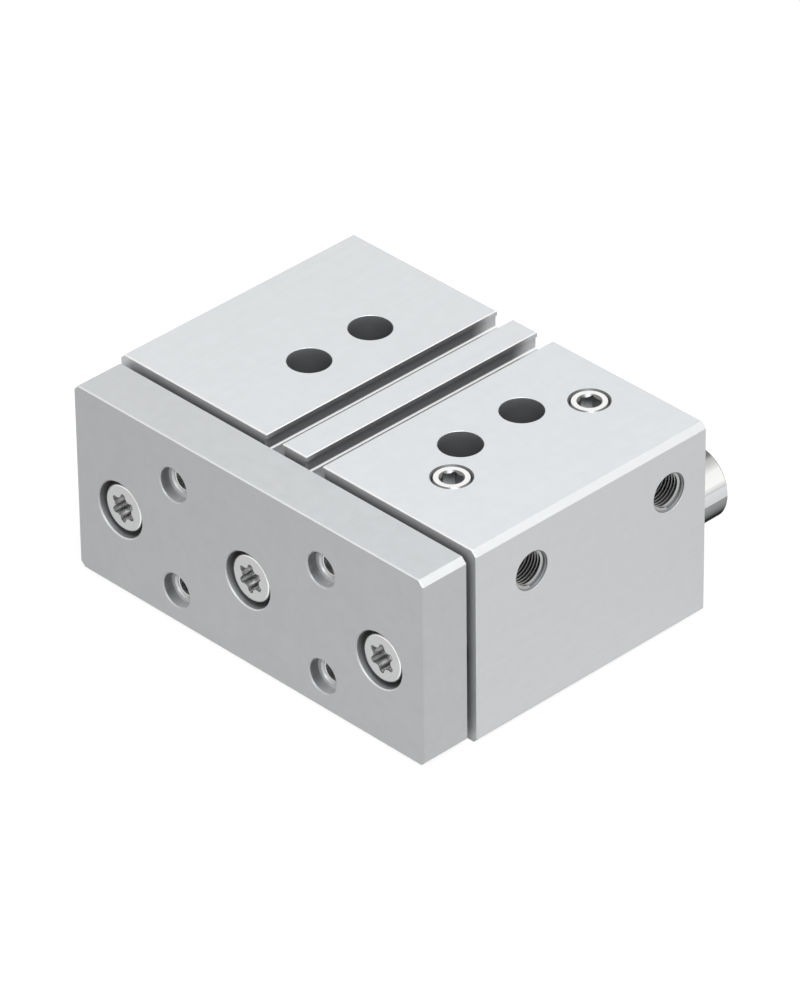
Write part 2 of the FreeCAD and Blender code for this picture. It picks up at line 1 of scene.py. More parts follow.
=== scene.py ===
"""Finish of a guided pneumatic cylinder: materials, cut threads, light and camera.

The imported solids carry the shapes. This script gives each of them its finish, and adds the
threads that can be seen in the side ports, the front plate and the underside. Everything is in
metres, in the frame of the solids: +X to the right of the plate, +Y to the rear and +Z up.
"""

import json
import logging
import math
from dataclasses import dataclass, field
from enum import Enum

import bpy
from mathutils import Matrix, Vector


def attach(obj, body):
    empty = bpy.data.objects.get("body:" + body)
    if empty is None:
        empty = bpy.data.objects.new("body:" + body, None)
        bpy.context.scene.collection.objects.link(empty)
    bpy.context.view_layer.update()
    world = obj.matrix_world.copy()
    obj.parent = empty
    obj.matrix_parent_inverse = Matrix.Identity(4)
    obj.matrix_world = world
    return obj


MM = 0.001
LOG = logging.getLogger("cylinder")

Point = tuple[float, float, float]
Colour = tuple[float, float, float]

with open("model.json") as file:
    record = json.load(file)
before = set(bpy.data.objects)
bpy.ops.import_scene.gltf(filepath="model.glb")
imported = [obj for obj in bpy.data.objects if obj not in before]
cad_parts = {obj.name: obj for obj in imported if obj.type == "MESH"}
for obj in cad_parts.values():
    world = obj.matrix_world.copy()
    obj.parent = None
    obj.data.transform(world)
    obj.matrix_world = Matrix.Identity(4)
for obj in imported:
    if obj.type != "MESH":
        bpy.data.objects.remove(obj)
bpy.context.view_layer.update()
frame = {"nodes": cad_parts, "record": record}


class Axis(Enum):
    """Direction that a main face looks in, or that a hole opens to."""

    RIGHT = (1.0, 0.0, 0.0)
    FRONT = (0.0, -1.0, 0.0)
    REAR = (0.0, 1.0, 0.0)
    UP = (0.0, 0.0, 1.0)
    DOWN = (0.0, 0.0, -1.0)


@dataclass(frozen=True)
class Holes:
    """Where the machined holes that need a finish or a thread of their own have their mouths."""

    port_face: float = 60.0 * MM
    port_rows: tuple[float, float] = (-20.0 * MM, 25.5 * MM)
    port_height: float = 40.25 * MM
    plug_side: float = 33.8 * MM
    plug_height: float = 50.0 * MM
    plate_face: float = -54.0 * MM
    plate_side: float = 25.0 * MM
    plate_heights: tuple[float, float] = (10.0 * MM, 40.0 * MM)
    base_side: float = 25.5 * MM
    base_rows: tuple[float, float] = (-8.9 * MM, 11.3 * MM)

    def ports(self, inset: float = 0.0) -> tuple[Point, ...]:
        """Give a point on each side port's axis, at a depth below the face."""
        return tuple((self.port_face - inset, row, self.port_height) for row in self.port_rows)

    def plugs(self) -> tuple[Point, ...]:
        """Give a point on each plugged top port's axis, a little below the top."""
        return tuple((self.plug_side, row, self.plug_height) for row in self.port_rows)

    def plate(self, inset: float = 0.0) -> tuple[Point, ...]:
        """Find the axes of the small threaded holes of the front plate.

        Args:
            inset: How far behind the face the points lie.

        Returns:
            A point on each hole's axis.
        """
        sides = (-self.plate_side, self.plate_side)
        depth = self.plate_face + inset
        return tuple((side, depth, height) for side in sides for height in self.plate_heights)

    def base(self, inset: float) -> tuple[Point, ...]:
        """Give a point on each axis of the threaded holes underneath, at a height in them."""
        sides = (-self.base_side, self.base_side)
        return tuple((side, row, inset) for side in sides for row in self.base_rows)


def deselect_all() -> None:
    """Clear the selection, which loading leaves on the solids."""
    bpy.ops.object.select_all(action="DESELECT")


def make_active(piece: bpy.types.Object) -> None:
    """Select one object alone and make it active.

    Args:
        piece: The object to work on.
    """
    deselect_all()
    piece.select_set(True)
    bpy.context.view_layer.objects.active = piece


def apply_modifiers(piece: bpy.types.Object) -> None:
    """Apply every modifier of an object in order.

    Args:
        piece: The object whose modifiers are applied.
    """
    make_active(piece)
    for modifier in list(piece.modifiers):
        bpy.ops.object.modifier_apply(modifier=modifier.name)


def dress(piece: bpy.types.Object, material: bpy.types.Material) -> None:
    """Give an object one material all over."""
    piece.data.materials.clear()
    piece.data.materials.append(material)


class Shader:
    """A node material that is built from top to bottom.

    Attributes:
        noise_low: Noise value that counts as its lowest.
        noise_high: Noise value that counts as its highest.
        slant: Largest part of the normal up to which a surface counts as slanted.
        flat: Largest part of the normal from which a surface counts as a main face.
        own_limits: Share of open sky at which the piece's own walls count as shut and as clear.
        near_limits: The same for any neighbour.
        rays: Rays for each measure of openness.
    """

    noise_low: float = 0.3
    noise_high: float = 0.7
    slant: float = 0.9
    flat: float = 0.97
    own_limits: tuple[float, float] = (0.48, 0.92)
    near_limits: tuple[float, float] = (0.1, 0.7)
    rays: int = 12

    def __init__(self, name: str) -> None:
        """Start a material with only its output.

        Args:
            name: Name of the material.
        """
        self.material = bpy.data.materials.new(name)
        self.material.use_nodes = True
        self.tree = self.material.node_tree
        self.tree.nodes.clear()
        self.output = self.tree.nodes.new("ShaderNodeOutputMaterial")
        place = self.tree.nodes.new("ShaderNodeTexCoord")
        self.coordinates = place.outputs["Object"]
        self.normal = place.outputs["Normal"]

    def link(self, source: bpy.types.NodeSocket, target: bpy.types.NodeSocket) -> None:
        """Join an output to an input."""
        self.tree.links.new(source, target)

    def principled(
        self, **sockets: float | tuple[float, float, float, float]
    ) -> bpy.types.Node:
        """Add the surface shader and join it to the output.

        Args:
            **sockets: Constant values by socket name, with underscores for spaces.

        Returns:
            The shader node.
        """
        node = self.tree.nodes.new("ShaderNodeBsdfPrincipled")
        for name, value in sockets.items():
            node.inputs[name.replace("_", " ")].default_value = value
        self.link(node.outputs["BSDF"], self.output.inputs["Surface"])
        return node

    def noise(self, scale: tuple[float, float, float], detail: float) -> bpy.types.NodeSocket:
        """Add noise, stretched by a scale along each axis.

        Args:
            scale: Cells per metre along X, Y and Z.
            detail: Octaves of the noise.

        Returns:
            The noise value, from 0 to 1.
        """
        mapping = self.tree.nodes.new("ShaderNodeMapping")
        mapping.inputs["Scale"].default_value = scale
        self.link(self.coordinates, mapping.inputs["Vector"])
        node = self.tree.nodes.new("ShaderNodeTexNoise")
        node.inputs["Scale"].default_value = 1.0
        node.inputs["Detail"].default_value = detail
        self.link(mapping.outputs["Vector"], node.inputs["Vector"])
        return node.outputs["Fac"]

    def ramp(
        self, value: bpy.types.NodeSocket, low: tuple[float, float], high: tuple[float, float]
    ) -> bpy.types.NodeSocket:
        """Map a value from one range to another.

        Args:
            value: The value to map.
            low: The input and the output at the lower end.
            high: The input and the output at the upper end.

        Returns:
            The mapped value, held at both ends.
        """
        node = self.tree.nodes.new("ShaderNodeMapRange")
        node.inputs["From Min"].default_value = low[0]
        node.inputs["To Min"].default_value = low[1]
        node.inputs["From Max"].default_value = high[0]
        node.inputs["To Max"].default_value = high[1]
        self.link(value, node.inputs["Value"])
        return node.outputs["Result"]

    def spread(
        self, noise: bpy.types.NodeSocket, lowest: float, highest: float
    ) -> bpy.types.NodeSocket:
        """Stretch a noise over a range, from where it is lowest to where it is highest."""
        return self.ramp(noise, (self.noise_low, lowest), (self.noise_high, highest))

    def math(self, operation: str, *values: bpy.types.NodeSocket | float) -> bpy.types.NodeSocket:
        """Add one arithmetic step.

        Args:
            operation: Name of the operation.
            *values: Its inputs, each a socket or a number.

        Returns:
            The result.
        """
        node = self.tree.nodes.new("ShaderNodeMath")
        node.operation = operation
        for index, value in enumerate(values):
            if isinstance(value, (int, float)):
                node.inputs[index].default_value = value
            else:
                self.link(value, node.inputs[index])
        return node.outputs["Value"]

    def vector_math(
        self, operation: str, *values: bpy.types.NodeSocket | Point
    ) -> bpy.types.Node:
        """Add one step of vector arithmetic.

        Args:
            operation: Name of the operation.
            *values: Its inputs, each a socket or three numbers.

        Returns:
            The node.
        """
        node = self.tree.nodes.new("ShaderNodeVectorMath")
        node.operation = operation
        for index, value in enumerate(values):
            if isinstance(value, tuple):
                node.inputs[index].default_value = value
            else:
                self.link(value, node.inputs[index])
        return node

    def facing(self, axis: Axis, start: float, full: float) -> bpy.types.NodeSocket:
        """Mark surfaces that look along an axis, between two cosines to it, with 0 to 1."""
        cosine = self.vector_math("DOT_PRODUCT", self.normal, axis.value).outputs["Value"]
        return self.ramp(cosine, (start, 0.0), (full, 1.0))

    def slanted(self) -> bpy.types.NodeSocket:
        """Mark the broken edges, chamfers and curved walls, which face along no axis.

        Returns:
            1 on slanted surfaces and 0 on flat main faces.
        """
        node = self.tree.nodes.new("ShaderNodeSeparateXYZ")
        self.link(self.normal, node.inputs["Vector"])
        parts = [self.math("ABSOLUTE", node.outputs[name]) for name in ("X", "Y", "Z")]
        largest = self.math("MAXIMUM", self.math("MAXIMUM", parts[0], parts[1]), parts[2])
        return self.ramp(largest, (self.slant, 1.0), (self.flat, 0.0))

    def within(self, seat: "Seat") -> bpy.types.NodeSocket:
        """Mark a machined part of a hole.

        Args:
            seat: The part.

        Returns:
            1 on it, 0 elsewhere.
        """
        offset = self.vector_math("SUBTRACT", self.coordinates, seat.centre).outputs["Vector"]
        crosswise = tuple(1.0 - abs(part) for part in seat.axis.value)
        across = self.vector_math("MULTIPLY", offset, crosswise)
        distance = self.vector_math("LENGTH", across.outputs["Vector"]).outputs["Value"]
        along = self.vector_math("MULTIPLY", offset, seat.axis.value)
        depth = self.vector_math("LENGTH", along.outputs["Vector"]).outputs["Value"]
        inside = self.ramp(distance, (seat.radius, 1.0), (seat.radius + seat.blur, 0.0))
        inside = self.math("MULTIPLY", inside, self.math("LESS_THAN", depth, seat.depth))
        if seat.floor:
            return inside
        flat = self.facing(seat.axis, start=0.85, full=0.95)
        return self.math("MULTIPLY", inside, self.math("SUBTRACT", 1.0, flat))

    def slot_light(
        self, slots: "SlotEdges"
    ) -> tuple[bpy.types.NodeSocket, bpy.types.NodeSocket]:
        """Mark where painted highlights go along the slots' edges, and where painted light goes at
        the slots' rear ends.

        Args:
            slots: Where they lie.

        Returns:
            The mark of the painted highlights on the chamfers at the foot and on the broken edges on
            top, and the mark of the painted light at the rear ends.
        """
        place = self.tree.nodes.new("ShaderNodeSeparateXYZ")
        self.link(self.coordinates, place.inputs["Vector"])
        across, along, height = (place.outputs[name] for name in ("X", "Y", "Z"))
        above = self.math("GREATER_THAN", height, slots.foot_low)
        below = self.math("LESS_THAN", height, slots.foot_high)
        upward = self.facing(Axis.UP, start=0.4, full=0.6)
        sloped = self.math("MULTIPLY", self.slanted(), upward)
        foot = self.math("MULTIPLY", above, below)
        beside = self.math("LESS_THAN", self.math("ABSOLUTE", across), slots.rim_side)
        outer = self.math("GREATER_THAN", self.math("ABSOLUTE", along), slots.rim_end)
        raised = self.math("GREATER_THAN", height, slots.rim)
        rim = self.math("MULTIPLY", raised, self.math("MAXIMUM", beside, outer))
        gleam = self.math("MULTIPLY", self.math("MAXIMUM", foot, rim), sloped)
        ends = self.ramp(along, (slots.end_start, 0.0), (slots.end_full, slots.end_light))
        return gleam, ends

    def openness(self, own_reach: float, near_reach: float) -> bpy.types.NodeSocket:
        """Measure how freely the surface lies, to paint shade into recesses where light fades.

        Args:
            own_reach: How far away the piece's own walls shade it.
            near_reach: How far away any neighbour shades it.

        Returns:
            0 where it is buried and 1 where it is open.
        """
        shares = []
        own = (own_reach, True, self.own_limits)
        near = (near_reach, False, self.near_limits)
        for reach, local, (shut, clear) in (own, near):
            node = self.tree.nodes.new("ShaderNodeAmbientOcclusion")
            node.samples = self.rays
            node.only_local = local
            node.inputs["Distance"].default_value = reach
            shares.append(self.ramp(node.outputs["AO"], (shut, 0.0), (clear, 1.0)))
        return self.math("MULTIPLY", *shares)

    def blend(
        self,
        share: bpy.types.NodeSocket,
        first: bpy.types.NodeSocket | Colour,
        second: bpy.types.NodeSocket | Colour,
    ) -> bpy.types.NodeSocket:
        """Mix two colours.

        Args:
            share: Share of the second colour.
            first: Colour at a share of 0.
            second: Colour at a share of 1.

        Returns:
            The mixed colour.
        """
        node = self.tree.nodes.new("ShaderNodeMix")
        node.data_type = "RGBA"
        self.link(share, node.inputs["Factor"])
        for socket, colour in ((node.inputs[6], first), (node.inputs[7], second)):
            if isinstance(colour, tuple):
                socket.default_value = (*colour, 1.0)
            else:
                self.link(colour, socket)
        return node.outputs[2]

    def stops(
        self,
        place: bpy.types.NodeSocket,
        colour: Colour,
        levels: tuple[tuple[float, float], ...],
    ) -> bpy.types.NodeSocket:
        """Grade a colour along a line of stops.

        Args:
            place: Where on the line, from 0 to 1.
            colour: The full colour.
            levels: Place and share of the full colour at each stop.

        Returns:
            The graded colour.
        """
        node = self.tree.nodes.new("ShaderNodeValToRGB")
        elements = node.color_ramp.elements
        for spot, _level in levels[1:-1]:
            elements.new(spot)
        for element, (spot, level) in zip(elements, levels):
            element.position = spot
            element.color = (*(channel * level for channel in colour), 1.0)
        self.link(place, node.inputs["Fac"])
        return node.outputs["Color"]

    def bump(
        self, height: bpy.types.NodeSocket, strength: float, depth: float
    ) -> bpy.types.NodeSocket:
        """Turn a height into a normal.

        Args:
            height: The height pattern.
            strength: How much of it shows.
            depth: Its height in metres.

        Returns:
            The bent normal.
        """
        node = self.tree.nodes.new("ShaderNodeBump")
        node.inputs["Strength"].default_value = strength
        node.inputs["Distance"].default_value = depth
        self.link(height, node.inputs["Height"])
        return node.outputs["Normal"]


@dataclass(frozen=True)
class Seat:
    """Machined part of a hole, painted a grey of its own that stands partly for its bare metal and
    partly for painted shade and painted light.

    Attributes:
        centre: Middle of its mouth.
        axis: Where it opens to.
        radius: How wide it is.
        shade: Grey painted on it, partly its bare metal and partly painted shade and light.
        floor: Whether its floor is meant too, and is kept off the painted shade.
        lit: How much painted light its lower wall gets.
        depth: How far down it reaches.
        blur: Width of its soft border.
    """

    centre: Point
    axis: Axis
    radius: float
    shade: float
    floor: bool = False
    lit: float = 0.0
    depth: float = 8.0 * MM
    blur: float = 0.05 * MM


@dataclass(frozen=True)
class SlotEdges:
    """Fine edges along the sensor slots that get painted highlights, and the slots' open rear ends
    that get painted light.

    Attributes:
        foot_low: Height at which the chamfers at the foot begin.
        foot_high: Height at which their gleam ends.
        rim: Height above which the broken edges on top begin.
        rim_side: How far to either side the slots' upper edges lie at most.
        rim_end: How far to the front and rear the outer edges lie at least.
        end_start: Where the painted light near the open rear end begins.
        end_full: Where it is full.
        end_light: How full that is.
    """

    foot_low: float = 49.1 * MM
    foot_high: float = 49.52 * MM
    rim: float = 53.75 * MM
    rim_side: float = 10.5 * MM
    rim_end: float = 37.3 * MM
    end_start: float = 30.0 * MM
    end_full: float = 35.5 * MM
    end_light: float = 0.7


@dataclass(frozen=True)
class Anodised:
    """Clear anodised aluminium: matt and faintly marked, with painted highlights on its upward edges
    and painted shade in recesses.

    Attributes:
        name: Name of the material.
        colour: Colour of its open faces.
        face: Where its main face looks.
        seats: Machined parts of its holes.
        slots: Gleaming edges of its slots, where it has any.
        edge_highlight: Painted highlight colour of its upward chamfers and broken edges.
        recess: Share of the colour that is left in a recess, as painted shade.
        floor_light: How much of the level floor of a recess is kept off the painted shade.
        roughness: Mean roughness.
        unevenness: How far the roughness strays to either side.
        metallic: How much it mirrors as bare metal does.
        mark_scale: Cells per metre of the drawing marks, along each axis.
        mark_share: Weight of the drawing marks against the clouds.
        mark_relief: Height of the drawing marks against the grain.
        mottle_scale: Cells per metre of the clouds.
        variation: How far the colour strays to either side.
        grain_scale: Cells per metre of the grain.
        grain_depth: Height of the grain in metres.
        own_reach: How far away its own walls shade it.
        near_reach: How far away its neighbours shade it.
    """

    name: str
    colour: Colour
    face: Axis = Axis.UP
    seats: tuple[Seat, ...] = ()
    slots: SlotEdges | None = None
    edge_highlight: Colour = (0.88, 0.87, 0.86)
    recess: float = 0.2
    floor_light: float = 0.15
    roughness: float = 0.42
    unevenness: float = 0.05
    metallic: float = 0.35
    mark_scale: tuple[float, float, float] = (900.0, 14.0, 900.0)
    mark_share: float = 0.2
    mark_relief: float = 0.6
    mottle_scale: float = 320.0
    variation: float = 0.025
    grain_scale: float = 2600.0
    grain_depth: float = 0.006 * MM
    own_reach: float = 14.0 * MM
    near_reach: float = 5.0 * MM

    def clouded(
        self, shader: Shader, marks: bpy.types.NodeSocket, mottle: bpy.types.NodeSocket
    ) -> bpy.types.NodeSocket:
        """Vary the colour of open faces with marks and clouds.

        Args:
            shader: The material being built.
            marks: Pattern of the drawing marks.
            mottle: Pattern of the clouds.

        Returns:
            The colour.
        """
        marked = shader.spread(marks, 0.5 - self.mark_share, 0.5 + self.mark_share)
        mottled = shader.spread(mottle, self.mark_share - 0.5, 0.5 - self.mark_share)
        dark = tuple(channel * (1.0 - self.variation) for channel in self.colour)
        light = tuple(channel * (1.0 + self.variation) for channel in self.colour)
        return shader.blend(shader.math("ADD", marked, mottled), dark, light)

    def painted_wall_light(
        self, shader: Shader, seat: Seat, mark: bpy.types.NodeSocket
    ) -> bpy.types.NodeSocket:
        """Find the lower wall of a seat, away from +X, and paint on it the light that would fall
        from above.

        Args:
            shader: The material being built.
            seat: The seat.
            mark: The seat's mark.

        Returns:
            Its share of painted light.
        """
        upward = shader.facing(Axis.UP, start=0.0, full=0.8)
        away = shader.facing(Axis.RIGHT, start=0.85, full=-0.15)
        caught = shader.math("MULTIPLY", shader.math("MULTIPLY", upward, seat.lit), away)
        return shader.math("MULTIPLY", mark, caught)

    def material(self) -> bpy.types.Material:
        """Build the finish.

        Returns:
            The material.
        """
        shader = Shader(self.name)
        surface = shader.principled(Metallic=self.metallic)
        marks = shader.noise(self.mark_scale, detail=3.0)
        mottle = shader.noise((self.mottle_scale,) * 3, detail=5.0)
        grain = shader.noise((self.grain_scale,) * 3, detail=2.0)
        colour = self.clouded(shader, marks, mottle)
        walls = shader.openness(self.own_reach, self.near_reach)
        # Painted highlight: open chamfers and broken edges that face up get the edge_highlight
        # colour.
        upward = shader.facing(Axis.UP, start=0.05, full=0.4)
        painted_rim_highlight = shader.math("MULTIPLY", shader.slanted(), upward)
        colour = shader.blend(shader.math("MULTIPLY", painted_rim_highlight, walls), colour, self.edge_highlight)
        # Painted shade: buried parts fade towards the recess share of the colour, and level floors
        # are partly spared.
        buried = tuple(channel * self.recess for channel in self.colour)
        level = shader.facing(self.face, start=0.8, full=0.95)
        floors = shader.math("MULTIPLY", level, self.floor_light)
        open_share = shader.math("MAXIMUM", walls, floors)
        # Seats get their own grey; their floors are kept off the painted shade, and their lower
        # walls get painted light.
        for seat in self.seats:
            mark = shader.within(seat)
            colour = shader.blend(mark, colour, (seat.shade,) * 3)
            if seat.floor:
                open_share = shader.math("MAXIMUM", open_share, mark)
            if seat.lit:
                caught = self.painted_wall_light(shader, seat, mark)
                open_share = shader.math("MAXIMUM", open_share, caught)
        # Slots: painted highlights on the foot chamfers and top edges, and painted light near the
        # open rear ends.
        if self.slots:
            gleam, ends = shader.slot_light(self.slots)
            colour = shader.blend(gleam, colour, self.edge_highlight)
            shader.link(shader.math("MAXIMUM", gleam, self.metallic), surface.inputs["Metallic"])
            open_share = shader.math("MAXIMUM", open_share, shader.math("MAXIMUM", gleam, ends))
        shader.link(shader.blend(open_share, buried, colour), surface.inputs["Base Color"])
        low, high = self.roughness - self.unevenness, self.roughness + self.unevenness
        shader.link(shader.spread(mottle, low, high), surface.inputs["Roughness"])
        relief = shader.math("ADD", shader.math("MULTIPLY", marks, self.mark_relief), grain)
        bent = shader.bump(relief, strength=0.35, depth=self.grain_depth)
        shader.link(bent, surface.inputs["Normal"])
        return shader.material


@dataclass(frozen=True)
class Polished:
    """Turned or plated metal with hair-fine marks, and painted shade where it is buried.

    Attributes:
        name: Name of the material.
        colour: Colour of its open faces.
        roughness: Mean roughness.
        recess: Share of the colour that is left in a recess, as painted shade.
        own_reach: How far away its own walls shade it.
        near_reach: How far away its neighbours shade it.
        rim_tint: How bright it mirrors at a glancing angle.
        mark_scale: Cells per metre of the turning marks, along each axis.
        mark_depth: Height of the marks in metres.
        cloud_scale: Cells per metre of its faint clouds.
        cloud_share: Share of the colour that its darkest clouds leave.
        wear_scale: Cells per metre of its wear.
        wear_range: Share of the roughness where it is least and most worn.
    """

    name: str
    colour: Colour
    roughness: float = 0.12
    recess: float = 0.25
    own_reach: float = 3.0 * MM
    near_reach: float = 3.0 * MM
    rim_tint: float = 1.0
    mark_scale: tuple[float, float, float] = (60.0, 4000.0, 60.0)
    mark_depth: float = 0.002 * MM
    cloud_scale: float = 220.0
    cloud_share: float = 0.95
    wear_scale: float = 180.0
    wear_range: tuple[float, float] = (0.85, 1.15)

    def open_colour(self, shader: Shader) -> bpy.types.NodeSocket:
        """Give the colour of open surfaces, faintly clouded.

        Args:
            shader: The material being built.

        Returns:
            The colour.
        """
        cloud = shader.noise((self.cloud_scale,) * 3, detail=3.0)
        clouded = tuple(channel * self.cloud_share for channel in self.colour)
        return shader.blend(cloud, clouded, self.colour)

    def open_share(self, shader: Shader) -> bpy.types.NodeSocket:
        """Give the share of the open colour against the painted shade: 0 where it is buried, 1 in
        the open.
        """
        return shader.openness(self.own_reach, self.near_reach)

    def material(self) -> bpy.types.Material:
        """Build the finish.

        Returns:
            The material.
        """
        shader = Shader(self.name)
        surface = shader.principled(Metallic=1.0, Specular_Tint=(*(self.rim_tint,) * 3, 1.0))
        # Painted shade: buried parts fade towards the recess share of the colour.
        buried = tuple(channel * self.recess for channel in self.colour)
        colour = shader.blend(self.open_share(shader), buried, self.open_colour(shader))
        shader.link(colour, surface.inputs["Base Color"])
        wear = shader.noise((self.wear_scale,) * 3, detail=2.0)
        low, high = (self.roughness * share for share in self.wear_range)
        shader.link(shader.spread(wear, low, high), surface.inputs["Roughness"])
        marks = shader.noise(self.mark_scale, detail=2.0)
        bent = shader.bump(marks, strength=0.3, depth=self.mark_depth)
        shader.link(bent, surface.inputs["Normal"])
        return shader.material


@dataclass(frozen=True)
class Faced(Polished):
    """Plated metal whose roundings and socket walls are painted a grey of their own, lighter as a
    painted highlight and darker as painted shade, and whose flat faces are kept off the painted
    shade.

    Attributes:
        face: Where the flat faces look.
        slope: Grey painted on all that doesn't look that way: a painted highlight where it is
            lighter than the colour, painted shade where it is darker.
        kept_light: Share of the open colour that the flat faces keep against the painted shade,
            however deep they lie.
    """

    face: Axis = Axis.UP
    slope: float = 0.2
    kept_light: float = 0.9

    def open_colour(self, shader: Shader) -> bpy.types.NodeSocket:
        """Paint what doesn't look along the face's axis with the slope grey: painted highlight where
        lighter, painted shade where darker.

        Args:
            shader: The material being built.

        Returns:
            The colour.
        """
        colour = super().open_colour(shader)
        # The slope grey is a painted highlight where lighter and painted shade where darker.
        flat = shader.facing(self.face, start=0.8, full=0.95)
        return shader.blend(flat, (self.slope,) * 3, colour)

    def open_share(self, shader: Shader) -> bpy.types.NodeSocket:
        """Keep the painted shade off flat faces, also at the foot of the socket.

        Args:
            shader: The material being built.

        Returns:
            0 where it is buried and 1 where it is open.
        """
        flat = shader.facing(self.face, start=0.9, full=0.98)
        kept = shader.math("MULTIPLY", flat, self.kept_light)
        return shader.math("MAXIMUM", super().open_share(shader), kept)


@dataclass(frozen=True)
class Chromed(Polished):
    """Hard chrome on a ground rod, with painted reflections in stripes along it, and bare turned
    ends.

    Attributes:
        reflection_bands: Place from the underside (0) to the top (1) and share of the colour, of
            each stripe of painted reflection.
        end_slope: Grey of the chamfers at the ends, painted dark as a painted reflection.
        end_face: Grey of the end faces.
    """

    reflection_bands: tuple[tuple[float, float], ...] = (
        (0.0, 0.7),
        (0.08, 0.6),
        (0.14, 0.3),
        (0.48, 0.32),
        (0.492, 0.62),
        (0.635, 0.68),
        (0.655, 0.54),
        (0.675, 0.74),
        (0.72, 1.0),
        (0.84, 0.96),
        (0.9, 0.62),
        (0.935, 0.5),
        (0.955, 0.2),
        (1.0, 0.24),
    )
    end_slope: float = 0.12
    end_face: float = 0.55

    def open_colour(self, shader: Shader) -> bpy.types.NodeSocket:
        """Lay the painted reflections round the rod in stripes, and paint the slopes at its ends
        dark as a painted reflection.

        Args:
            shader: The material being built.

        Returns:
            The colour.
        """
        # Painted reflections: stripes graded by how far the normal looks up.
        height = shader.facing(Axis.UP, start=-1.0, full=1.0)
        colour = shader.stops(height, self.colour, self.reflection_bands)
        for axis in (Axis.FRONT, Axis.REAR):
            # Painted dark reflection on the end chamfers; the flat end faces are bare turned metal.
            slope = shader.facing(axis, start=0.25, full=0.45)
            colour = shader.blend(slope, colour, (self.end_slope,) * 3)
            flat = shader.facing(axis, start=0.88, full=0.96)
            colour = shader.blend(flat, colour, (self.end_face,) * 3)
        return colour


@dataclass(frozen=True)
class Elastic:
    """Moulded rubber, plastic or felt, with a fine grain.

    Attributes:
        name: Name of the material.
        colour: Its darker colour.
        roughness: Mean roughness.
        grain_scale: Cells per metre of the grain.
        grain_depth: Height of the grain in metres.
        lighter: Its lighter colour, as a share of the darker one.
        unevenness: How far the roughness strays to either side.
    """

    name: str
    colour: Colour
    roughness: float = 0.6
    grain_scale: float = 3000.0
    grain_depth: float = 0.03 * MM
    lighter: float = 1.25
    unevenness: float = 0.08

    def material(self) -> bpy.types.Material:
        """Build the finish.

        Returns:
            The material.
        """
        shader = Shader(self.name)
        surface = shader.principled(Metallic=0.0)
        grain = shader.noise((self.grain_scale,) * 3, detail=4.0)
        light = tuple(min(1.0, channel * self.lighter) for channel in self.colour)
        shader.link(shader.blend(grain, self.colour, light), surface.inputs["Base Color"])
        low, high = self.roughness - self.unevenness, self.roughness + self.unevenness
        shader.link(shader.spread(grain, low, high), surface.inputs["Roughness"])
        bent = shader.bump(grain, strength=0.5, depth=self.grain_depth)
        shader.link(bent, surface.inputs["Normal"])
        return shader.material


@dataclass(frozen=True)
class SeatLightAndShade:
    """The seats that get a grey of their own, part bare metal and part painted shade and painted
    light, and how each kind is done.
    """

    holes: Holes = Holes()
    # Side port mouths: darker grey, partly bare metal and partly painted shade, with painted light
    # on the lower wall.
    port_radius: float = 5.14 * MM
    port_grey: float = 0.34
    port_light: float = 0.8
    # Plug mouths: painted shade.
    plug_radius: float = 5.4 * MM
    plug_grey: float = 0.12
    # Walls of the plate's recesses: painted light on the lower wall, in a lighter grey.
    wall_radius: float = 5.2 * MM
    wall_grey: float = 0.72
    wall_light: float = 1.0
    # Floors of the plate's recesses: bright grey, partly faced bare metal and partly painted light,
    # kept off the painted shade.
    floor_radius: float = 4.4 * MM
    floor_grey: float = 0.92

    def housing(self) -> tuple[Seat, ...]:
        """List the mouths of the side ports and of the plugged top ports.

        Returns:
            The seats.
        """
        ports = tuple(
            Seat(place, Axis.RIGHT, self.port_radius, self.port_grey, lit=self.port_light)
            for place in self.holes.ports()
        )
        plugs = tuple(
            Seat(place, Axis.UP, self.plug_radius, self.plug_grey) for place in self.holes.plugs()
        )
        return ports + plugs

    def plate(self) -> tuple[Seat, ...]:
        """List the walls and the faced floors of the plate's centring recesses.

        Returns:
            The seats.
        """
        places = self.holes.plate()
        walls = tuple(
            Seat(place, Axis.FRONT, self.wall_radius, self.wall_grey, lit=self.wall_light)
            for place in places
        )
        floors = tuple(
            Seat(place, Axis.FRONT, self.floor_radius, self.floor_grey, floor=True)
            for place in places
        )
        return walls + floors


